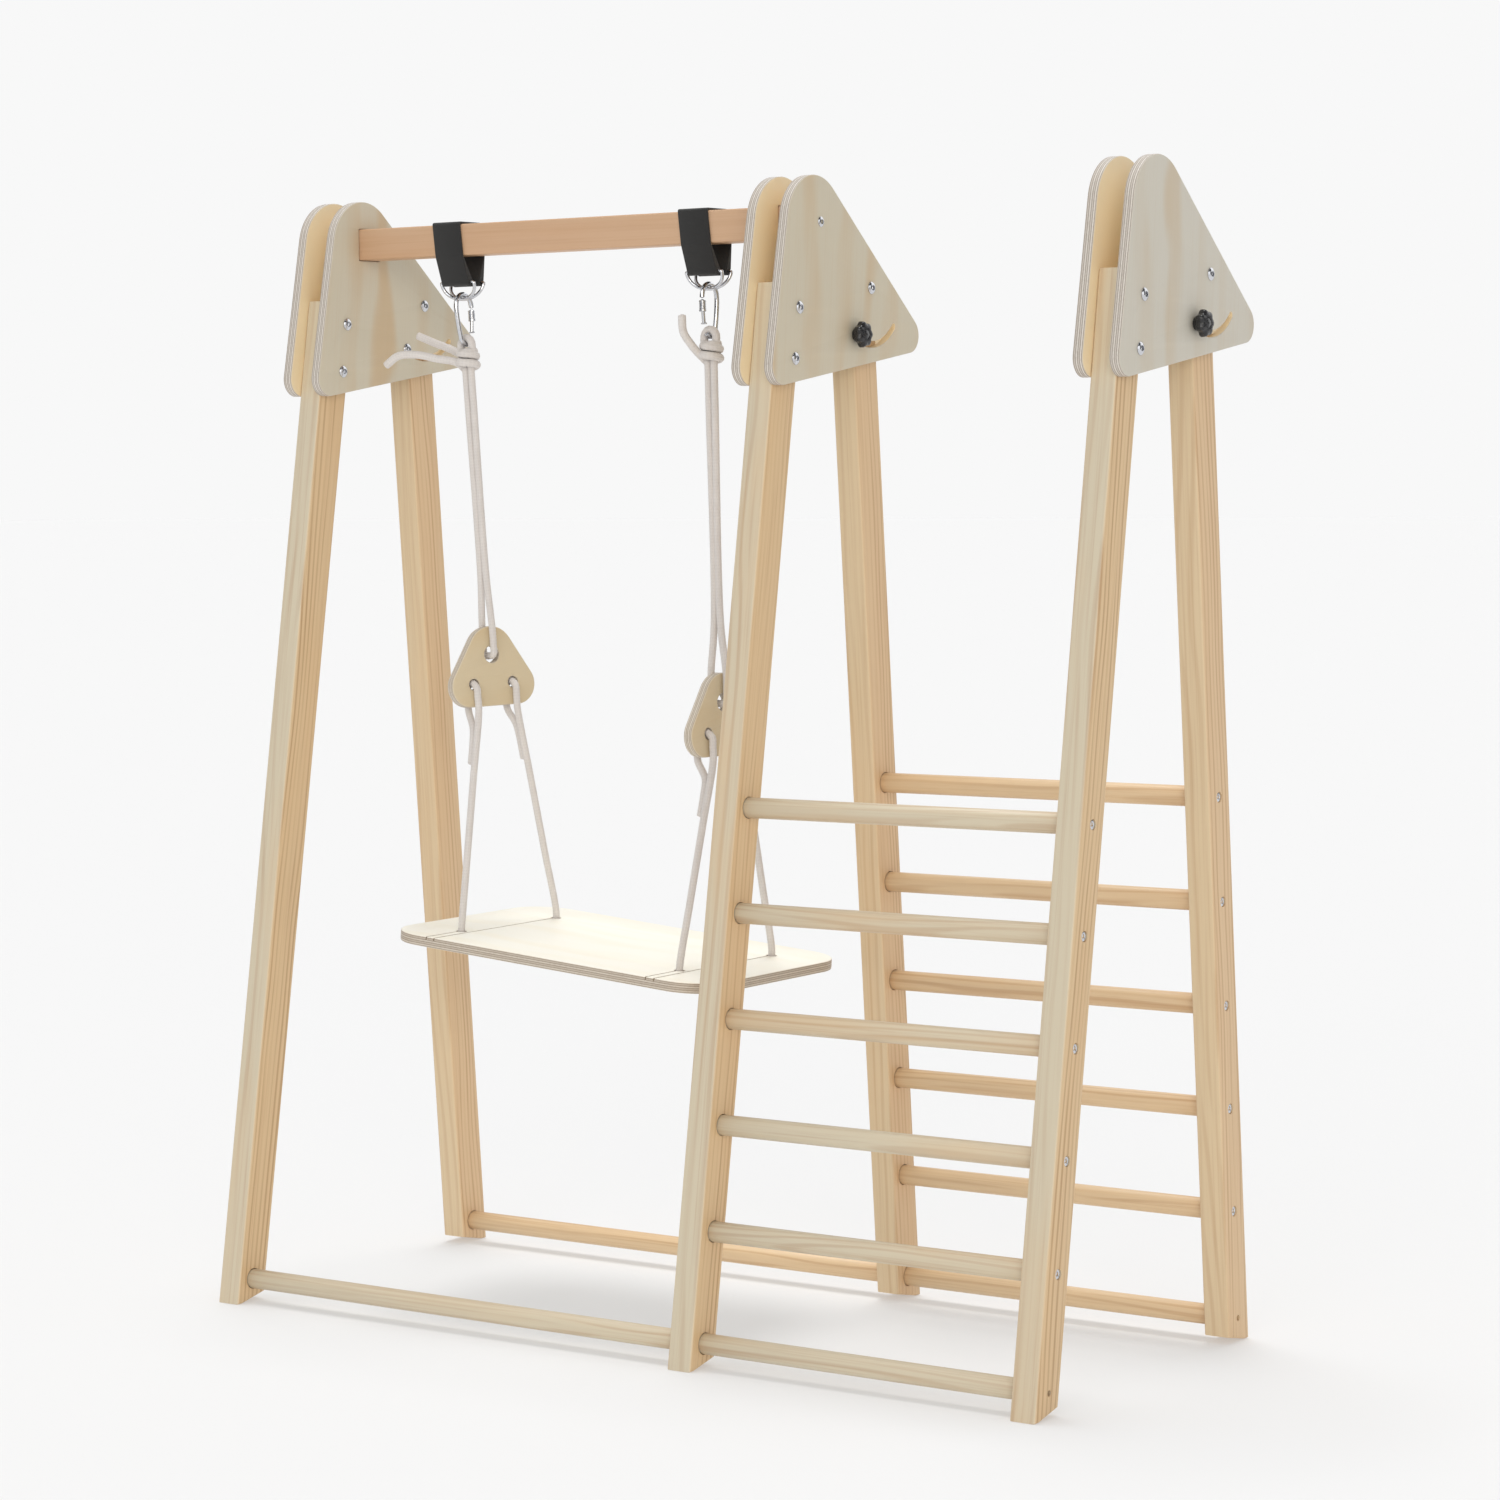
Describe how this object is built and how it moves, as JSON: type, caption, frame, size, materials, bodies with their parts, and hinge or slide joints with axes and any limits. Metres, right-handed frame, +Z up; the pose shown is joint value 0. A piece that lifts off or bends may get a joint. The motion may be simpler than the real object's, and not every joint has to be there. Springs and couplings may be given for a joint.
{
  "type": "swing set",
  "caption": "Wooden A-frame swing and climbing set: a plywood platform seat on ropes hangs from a beam beside a bay of ladder rungs.",
  "frame": {"origin": "middle of the footprint, on the floor", "axes": "+X along the swing bar, from the swing bay to the ladder bay; +Y from the front legs to the rear legs; +Z up"},
  "size_m": [1.4392, 0.574, 1.5903],
  "materials": {
    "pine": "clear-coated pine, satin",
    "beech": "clear-coated beech, satin",
    "plywood": "clear-coated birch plywood, satin",
    "zinc": "bright zinc plating",
    "knob_plastic": "glossy black",
    "webbing": "matte woven webbing",
    "rope": "braided cotton"
  },
  "bodies": {
    "front_frame": {"left_front_leg": "pine", "middle_front_leg": "pine", "right_front_leg": "pine", "left_outer_plate": "plywood", "left_inner_plate": "plywood", "middle_inner_plate": "plywood", "middle_outer_plate": "plywood", "right_inner_plate": "plywood", "right_outer_plate": "plywood", "left_lower_bolt": "zinc", "left_upper_bolt": "zinc", "left_pivot_bolt": "zinc", "middle_lower_bolt": "zinc", "middle_upper_bolt": "zinc", "middle_pivot_bolt": "zinc", "right_lower_bolt": "zinc", "right_upper_bolt": "zinc", "right_pivot_bolt": "zinc", "front_rung_1": "pine", "front_rung_2": "pine", "front_rung_3": "pine", "front_rung_4": "pine", "front_rung_5": "pine", "front_ladder_stretcher": "pine", "front_swing_stretcher": "pine", "swing_bar": "beech", "bar_left_screw": "zinc", "bar_right_screw": "zinc", "left_strap": "webbing", "left_front_ring": "zinc", "left_rear_ring": "zinc", "right_strap": "webbing", "right_front_ring": "zinc", "right_rear_ring": "zinc"},
    "rear_frame": {"left_rear_leg": "pine", "middle_rear_leg": "pine", "right_rear_leg": "pine", "rear_rung_1": "pine", "rear_rung_2": "pine", "rear_rung_3": "pine", "rear_rung_4": "pine", "rear_rung_5": "pine", "rear_ladder_stretcher": "pine", "rear_swing_stretcher": "pine"},
    "swing": {"left_carabiner": "zinc", "left_knot": "rope", "left_upper_rope": "rope", "left_spreader": "plywood", "left_lower_rope": "rope", "right_carabiner": "zinc", "right_knot": "rope", "right_upper_rope": "rope", "right_spreader": "plywood", "right_lower_rope": "rope", "seat": "plywood"},
    "left_gate": {"left_gate": "zinc"},
    "right_gate": {"right_gate": "zinc"},
    "left_knob": {"left_star_knob": "knob_plastic"},
    "middle_knob": {"middle_star_knob": "knob_plastic"},
    "right_knob": {"right_star_knob": "knob_plastic"}
  },
  "joints": [
    {"name": "rear_frame_fold", "type": "hinge", "parent": "front_frame", "child": "rear_frame", "pos_m": [0, 0.15713, 1.44148], "axis": [1, 0, 0], "range_deg": [0, 30]},
    {"name": "swing", "type": "hinge", "parent": "front_frame", "child": "swing", "pos_m": [-0.237, 0.03213, 1.43238], "axis": [1, 0, 0], "range_deg": [-40, 40]},
    {"name": "left_carabiner_gate", "type": "hinge", "parent": "swing", "child": "left_gate", "pos_m": [-0.45208, 0.04663, 1.39502], "axis": [0.9975, 0, 0.0713], "range_deg": [0, 30], "stiffness_Nm_per_rad": 0.1, "springref_deg": -11.46},
    {"name": "right_carabiner_gate", "type": "hinge", "parent": "swing", "child": "right_gate", "pos_m": [-0.01719, 0.01763, 1.39489], "axis": [-0.9999, 0, -0.0146], "range_deg": [0, 30], "stiffness_Nm_per_rad": 0.1, "springref_deg": -11.46},
    {"name": "left_knob_turn", "type": "hinge", "parent": "rear_frame", "child": "left_knob", "pos_m": [-0.665, 0.11465, 1.37606], "axis": [1, 0, 0], "range_deg": [0, 360]},
    {"name": "middle_knob_turn", "type": "hinge", "parent": "rear_frame", "child": "middle_knob", "pos_m": [0.135, 0.11465, 1.37606], "axis": [1, 0, 0], "range_deg": [0, 360]},
    {"name": "right_knob_turn", "type": "hinge", "parent": "rear_frame", "child": "right_knob", "pos_m": [0.665, 0.11465, 1.37606], "axis": [1, 0, 0], "range_deg": [0, 360]}
  ]
}
